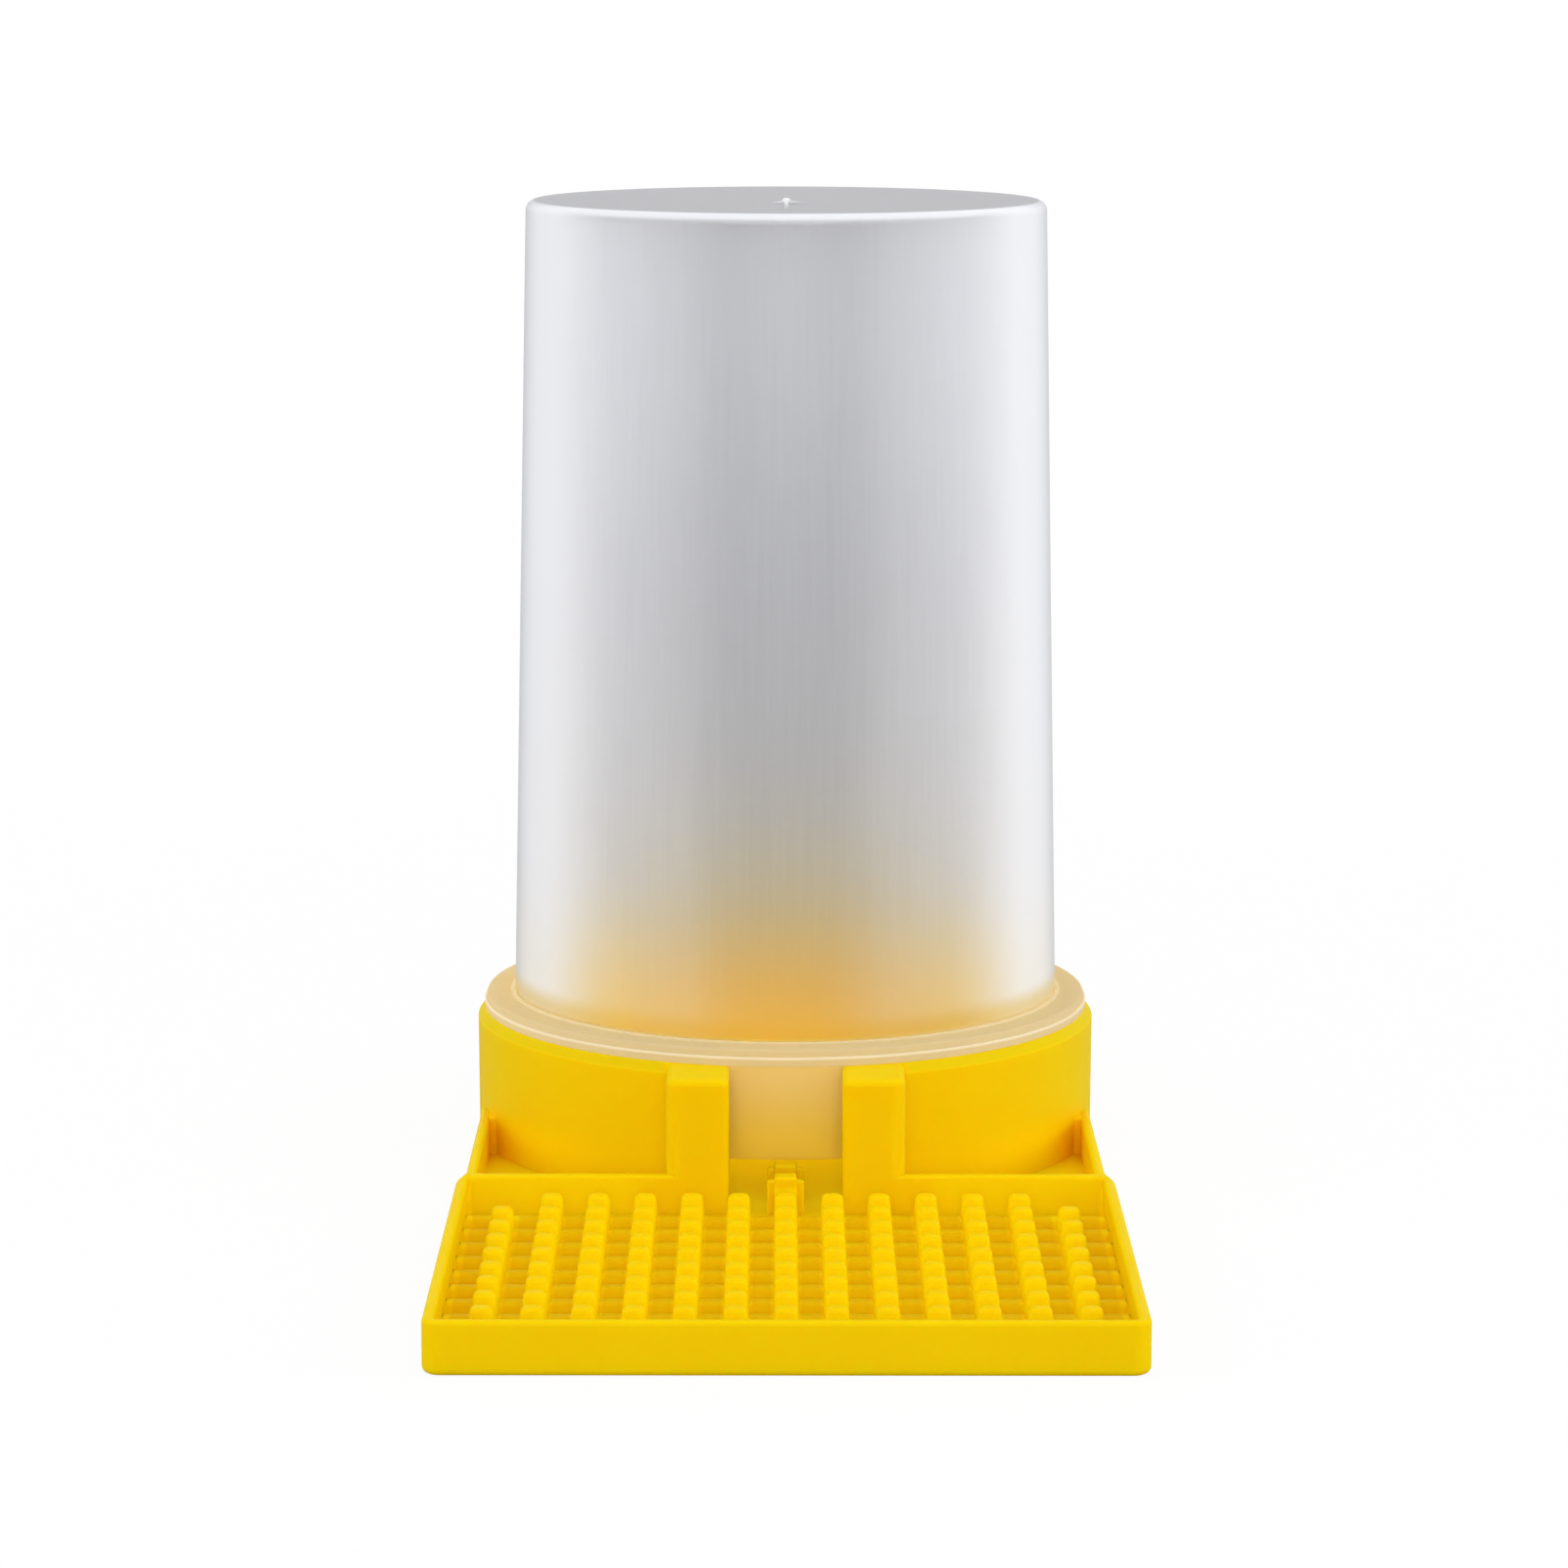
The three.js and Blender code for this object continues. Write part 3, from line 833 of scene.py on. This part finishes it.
# Where the cap's skirt clears, where the ring ends, and where the two fine lines of painted
# highlight lie: the lip's by radius and height, and the collar's, which is fainter, by height.
UP_THE_SKIRT = (10.0, 25.0)
ABOVE_RING = (25.6, 26.4)
LIP_HIGHLIGHT_RADII = (55.8, 56.0)
LIP_HIGHLIGHT_HEIGHTS = (27.3, 27.6)
COLLAR_HIGHLIGHT_HEIGHTS = (29.3, 29.5)
COLLAR_HIGHLIGHT_SHARE = 0.6

# Share of the milk below and above the ring and in the fine lines of painted highlight, and how
# much of it lets light through to its far side.
MILK_SHARES = (0.9, 0.75)
HIGHLIGHT_MILK_SHARE = 0.95
FAR_SIDE_SHARE = 0.45

# The cap's glass, its grain, and the tint of the light that lamps send through it.
TINT_BLOTCH = 12.0
CAP_GLOSS_BLOTCH = 3.0
CAP_ROUGHNESS = (0.48, 0.56)
CAP_IOR = 1.45
CAP_GRAIN = 0.4
CAP_GRAIN_DEPTH = 0.006
CAP_SHADOW_TINT = (1.0, 0.97, 0.90)


def milky_plastic():
    """Natural translucent plastic: mostly milk, which scatters both ways, over rough glass.

    The milk carries the painted glow of the yellow base shining through it, amber down the skirt and
    tan over the milk's own tone on the flange, and painted highlights in two fine lines, along the lip
    and along the collar.
    """
    material = new_material("milky_cap_plastic")
    tree = material.node_tree
    place = coordinates(tree)
    above_ring = ranged(tree, place["z"], ABOVE_RING)
    # Painted highlights along the lip and along the collar.
    lip_highlight = product(
        tree, linear(tree, place["radius"], LIP_HIGHLIGHT_RADII), linear(tree, place["z"], LIP_HIGHLIGHT_HEIGHTS)
    )
    collar_highlight = linear(tree, place["z"], COLLAR_HIGHLIGHT_HEIGHTS, 0.0, COLLAR_HIGHLIGHT_SHARE)
    edge = worked(tree, "MAXIMUM", lip_highlight, collar_highlight)
    skirt_share = ranged(tree, place["z"], UP_THE_SKIRT)
    # Painted glow of the yellow base down the skirt and on the flange, then the painted highlight lines.
    milk_colour = blended(tree, skirt_share, SKIRT_FOOT_PAINTED_GLOW, SKIRT_TOP_PAINTED_GLOW)
    milk_colour = blended(tree, above_ring, milk_colour, FLANGE_MILK_AND_GLOW)
    milk_colour = blended(tree, edge, milk_colour, EDGE_PAINTED_HIGHLIGHT)
    grain = grained(tree, cloudy(tree, CAP_GRAIN, detail=GRAIN_DETAIL), CAP_GRAIN_DEPTH)
    tint = blended(tree, cloudy(tree, TINT_BLOTCH), *CAP_TINTS)
    glass = add(
        tree, "ShaderNodeBsdfPrincipled", Base_Color=tint,
        Roughness=cloudy(tree, CAP_GLOSS_BLOTCH, *CAP_ROUGHNESS), Transmission_Weight=1.0,
        IOR=CAP_IOR, Normal=grain,
    )
    near = add(tree, "ShaderNodeBsdfDiffuse", Color=milk_colour, Normal=grain)
    far = add(tree, "ShaderNodeBsdfTranslucent", Color=milk_colour)
    milk = add(
        tree, "ShaderNodeMixShader", Fac=FAR_SIDE_SHARE, i1=near.outputs["BSDF"], i2=far.outputs["BSDF"]
    )
    plain_share = linear(tree, above_ring, (0.0, 1.0), *MILK_SHARES)
    # The painted highlight lines are almost all milk.
    highlight_share = worked(tree, "MULTIPLY", edge, HIGHLIGHT_MILK_SHARE)
    milk_share = worked(tree, "MAXIMUM", plain_share, highlight_share)
    body = add(
        tree, "ShaderNodeMixShader", Fac=milk_share, i1=glass.outputs["BSDF"], i2=milk.outputs["Shader"]
    )
    lets_lamps_through(tree, body.outputs["Shader"], CAP_SHADOW_TINT)
    return material


# Greys of the cup's glass, which are painted shade, the painted glow of the yellow base in its foot,
# and the whites of its frost with painted shade, glow and highlights, as red, green and blue.
# The glass's greys are painted shade: they darken what is seen through the wall, as a darker surround
# would.
WALL_GREYS_PAINTED_SHADE = ((0.670, 0.675, 0.698), (0.780, 0.785, 0.810))
# Painted glow of the yellow base shining up into the cup's foot, in its glass and in its frost.
FOOT_PAINTED_GLOW = (1.0, 0.80, 0.01)
FROST_WHITE = (0.925, 0.935, 0.97)
FOOT_FROST_PAINTED_GLOW = (0.98, 0.80, 0.36)
FOOT_GLOW_SHARE = 0.17
# Painted shade on the frost near the cup's outline, where the wall is seen nearly edge on.
EDGE_PAINTED_SHADE = (0.72, 0.73, 0.75)
# Painted glow, in tan, of the cap and the yellow base in a band by the collar.
COLLAR_PAINTED_GLOW = (0.84, 0.70, 0.42)
# Painted shade on the crown's top, a darker grey than the frost.
CROWN_PAINTED_SHADE = (0.56, 0.56, 0.58)
# Painted highlight on the gate mark.
MARK_PAINTED_HIGHLIGHT = (0.98, 0.98, 0.98)

# Where the painted glow at the foot fades, where the glass's painted grey grows paler, the collar's
# band of painted glow, the crown's shoulder with its painted highlight, and heights over the crown's
# paraboloid where the crown's painted shade and the mark's painted highlight begin.
FOOT_HEIGHTS = (24.0, 58.0)
PALE_HEIGHTS = (90.0, 175.0)
PALE_SHARE = 0.75
BY_COLLAR = (("z", 16.0, 30.0), ("z", 34.5, 30.8))
SHOULDER_HIGHLIGHT_HEIGHTS = (174.2, 175.2)
CROWN_DEPTHS = (-0.15, -0.02)
MARK_HEIGHTS = (0.0, 0.9)

# Fine upright streaks, stretched along the cup's axis, and how much they change the grey.
STREAK_SIZE = 0.7
STREAK_DETAIL = 3.0
STREAK_STRETCH = (1.0, 1.0, 60.0)
STREAKS_IN_GREY = 0.5

# How the frost grows as the wall turns away from the eye. Facing is 0 face on and 1 edge on.
FACE_ON = (0.0, 0.10)
FACE_ON_SHARES = (0.02, 0.17)
TURNING_AWAY = (0.20, 0.57)
TURNED_AWAY_SHARE = 0.76
# Where the painted shade near the outline comes in.
NEARLY_EDGE_ON = (0.66, 0.95)
# Share of white frost on the crown's shoulder, a painted highlight.
SHOULDER_HIGHLIGHT_SHARE = 0.85

# The cup's glass, its grain, and the tint of the light that lamps send through it.
CUP_ROUGHNESS = (0.38, 0.46)
CUP_IOR = 1.49
CUP_GRAIN_DEPTH = 0.008
CUP_SHADOW_TINT = (1.0, 1.0, 1.0)


def frosted_plastic():
    """Frosted translucent plastic: rough glass, with more white scattering towards its edges.

    The crown and its mark are told from the wall by their height over the crown's paraboloid,
    z = middle + dish (r / crest radius)^2.
    """
    material = new_material("frosted_cup_plastic")
    tree = material.node_tree
    place = coordinates(tree)
    square = worked(tree, "MULTIPLY", place["radius"], place["radius"])
    dish_height = worked(
        tree, "MULTIPLY_ADD", square, CROWN_DISH / CREST_RADIUS ** 2, CUP_TOP - CROWN_DISH
    )
    over_crown = worked(tree, "SUBTRACT", place["z"], dish_height)
    # Painted glow of the yellow base, fading up from the foot.
    near_foot = ranged(tree, place["z"], FOOT_HEIGHTS, 1.0, 0.0)
    facing = add(tree, "ShaderNodeLayerWeight", Blend=0.5).outputs["Facing"]

    # The glass's painted grey shade grows paler higher up, and is streaked.
    pale_share = ranged(tree, place["z"], PALE_HEIGHTS, 0.0, PALE_SHARE)
    grey_share = worked(tree, "ADD", streaked(tree, high=STREAKS_IN_GREY), pale_share)
    wall_colour = blended(tree, near_foot, blended(tree, grey_share, *WALL_GREYS_PAINTED_SHADE), FOOT_PAINTED_GLOW)
    foot_glow_share = worked(tree, "MULTIPLY", near_foot, FOOT_GLOW_SHARE)
    frost_colour = blended(tree, foot_glow_share, FROST_WHITE, FOOT_FROST_PAINTED_GLOW)
    # Painted shade near the outline and on the crown, painted glow by the collar, and a painted highlight
    # on the gate mark.
    for share, tint in (
        (ranged(tree, facing, NEARLY_EDGE_ON), EDGE_PAINTED_SHADE),
        (region(tree, place, BY_COLLAR), COLLAR_PAINTED_GLOW),
        (ranged(tree, over_crown, CROWN_DEPTHS), CROWN_PAINTED_SHADE),
        (ranged(tree, over_crown, MARK_HEIGHTS), MARK_PAINTED_HIGHLIGHT),
    ):
        frost_colour = blended(tree, share, frost_colour, tint)

    grain = grained(tree, streaked(tree), CUP_GRAIN_DEPTH)
    glass = add(
        tree, "ShaderNodeBsdfPrincipled", Base_Color=wall_colour,
        Roughness=streaked(tree, *CUP_ROUGHNESS), Transmission_Weight=1.0, IOR=CUP_IOR, Normal=grain,
    )
    frost = add(tree, "ShaderNodeBsdfDiffuse", Color=frost_colour, Normal=grain)
    wall_share = worked(
        tree, "ADD", ranged(tree, facing, FACE_ON, *FACE_ON_SHARES),
        ranged(tree, facing, TURNING_AWAY, 0.0, TURNED_AWAY_SHARE),
    )
    # The crown's shoulder turns to white frost, a painted highlight.
    shoulder_highlight_share = ranged(tree, place["z"], SHOULDER_HIGHLIGHT_HEIGHTS, 0.0, SHOULDER_HIGHLIGHT_SHARE)
    frost_share = worked(tree, "MAXIMUM", wall_share, shoulder_highlight_share)
    body = add(
        tree, "ShaderNodeMixShader", Fac=frost_share, i1=glass.outputs["BSDF"], i2=frost.outputs["BSDF"]
    )
    lets_lamps_through(tree, body.outputs["Shader"], CUP_SHADOW_TINT)
    return material


# Brightness of the surround as a lamp, where white is 1.
AMBIENT = 0.66


def white_surround():
    """A world that is seen as white, also in gloss and through glass, and lights more softly."""
    world = bpy.data.worlds.new("white_surround")
    bpy.context.scene.world = world
    world.use_nodes = True
    tree = world.node_tree
    tree.nodes.clear()
    path = add(tree, "ShaderNodeLightPath").outputs
    seen = worked(tree, "MAXIMUM", path["Is Camera Ray"], path["Is Glossy Ray"])
    seen = worked(tree, "MAXIMUM", seen, path["Is Transmission Ray"])
    strength = linear(tree, seen, (0.0, 1.0), AMBIENT, 1.0)
    white = add(tree, "ShaderNodeBackground", Color=(1.0, 1.0, 1.0, 1.0), Strength=strength)
    add(tree, "ShaderNodeOutputWorld", Surface=white.outputs["Background"])


# Stage. The floor's own white fades into the surround between two distances from the feeder.
STAGE_RADIUS = 3000.0
STAGE_TOP = -0.1
STAGE_DEPTH = 3.0
STAGE_SEGMENTS = 96
FADE_DISTANCES = (150.0, 700.0)
FADE_SHARES = (0.93, 1.0)
FLOOR_BOUNCE = (0.6, 0.6, 0.6)
FLOOR_PAINT = (0.95, 0.95, 0.95)


def pale_floor_paint():
    """Paint that keeps a soft shadow near the feeder and is seen as plain white far from it."""
    material = new_material("pale_floor_paint")
    tree = material.node_tree
    seen = add(tree, "ShaderNodeLightPath").outputs["Is Camera Ray"]
    length = add(tree, "ShaderNodeVectorMath", {"operation": "LENGTH"}, i0=place_in_millimetres(tree))
    white_share = ranged(tree, length.outputs["Value"], FADE_DISTANCES, *FADE_SHARES)
    paint = add(tree, "ShaderNodeBsdfDiffuse", Color=blended(tree, seen, FLOOR_BOUNCE, FLOOR_PAINT))
    glow = add(tree, "ShaderNodeEmission")
    mix = add(
        tree, "ShaderNodeMixShader", Fac=worked(tree, "MULTIPLY", seen, white_share),
        i1=paint.outputs["BSDF"], i2=glow.outputs["Emission"],
    )
    add(tree, "ShaderNodeOutputMaterial", Surface=mix.outputs["Shader"])
    return material


# Soft lamps, in metres: name, place, diameter and share of the light. All aim at one point.
LAMPS = (
    ("key_softbox", (-0.55, -1.1, 1.2), 1.1, 0.03),
    ("front_softbox", (0.0, -1.7, 0.45), 0.7, 0.21),
    ("left_softbox", (-1.6, -0.4, 0.6), 1.1, 0.19),
    ("right_softbox", (1.6, -0.4, 0.6), 1.1, 0.27),
    ("top_softbox", (0.0, 0.2, 1.6), 1.1, 0.14),
)
LAMP_AIM = (0.0, -0.05, 0.06)


def soft_lamp(name, place, size, share_of_light):
    """A round lamp that lights a white surface facing it at the aim to its share of white.

    That takes an energy of share x pi squared x distance squared.
    """
    lamp = bpy.data.lights.new(name, "AREA")
    lamp.shape = "DISK"
    lamp.size = size
    aim = Vector(LAMP_AIM) - Vector(place)
    lamp.energy = share_of_light * math.pi ** 2 * aim.length_squared
    holder = bpy.data.objects.new(name, lamp)
    bpy.context.scene.collection.objects.link(holder)
    holder.location = place
    holder.rotation_mode = "QUATERNION"
    holder.rotation_quaternion = aim.to_track_quat("-Z", "Y")


def stage_and_light():
    """A pale round floor, a white surround, and five soft lamps."""
    white_surround()
    low, high = -STAGE_DEPTH, STAGE_TOP
    floor = new_object(
        "pale_floor",
        turned([(0.0, low), (STAGE_RADIUS, low), (STAGE_RADIUS, high), (0.0, high)], STAGE_SEGMENTS),
    )
    floor.data.materials.append(pale_floor_paint())
    for name, place, size, share_of_light in LAMPS:
        soft_lamp(name, place, size, share_of_light)


# Camera: place in metres, lens in millimetres, angles in degrees.
CAMERA_PLACE = (-0.00175, -0.9390, 0.2259)
SENSOR_WIDTH = 36.0
FOCAL_LENGTH = 117.33
CLIP_END = 20.0
CAMERA_TURN = -0.09
CAMERA_PITCH = 9.57
CAMERA_ROLL = 0.08


def portrait_camera():
    """A long lens in front of the tray, pitched down, with the slight turn and roll of a hand."""
    lens = bpy.data.cameras.new("portrait_camera")
    lens.sensor_width = SENSOR_WIDTH
    lens.lens = FOCAL_LENGTH
    lens.clip_end = CLIP_END
    camera = bpy.data.objects.new("portrait_camera", lens)
    bpy.context.scene.collection.objects.link(camera)
    camera.location = CAMERA_PLACE
    turn = Matrix.Rotation(math.radians(CAMERA_TURN), 4, "Z")
    pitch = Matrix.Rotation(math.radians(90.0 - CAMERA_PITCH), 4, "X")
    roll = Matrix.Rotation(math.radians(CAMERA_ROLL), 4, "Z")
    camera.rotation_euler = (turn @ pitch @ roll).to_euler()
    bpy.context.scene.camera = camera


finish_piece(moulded_base(), yellow_plastic(), "base", "feeder_base")
finish_piece(feed_cap(), milky_plastic(), "cap", "feed_cap")
finish_piece(syrup_cup(), frosted_plastic(), "cup", "syrup_cup")
stage_and_light()
portrait_camera()
bpy.context.scene.view_settings.view_transform = "Standard"
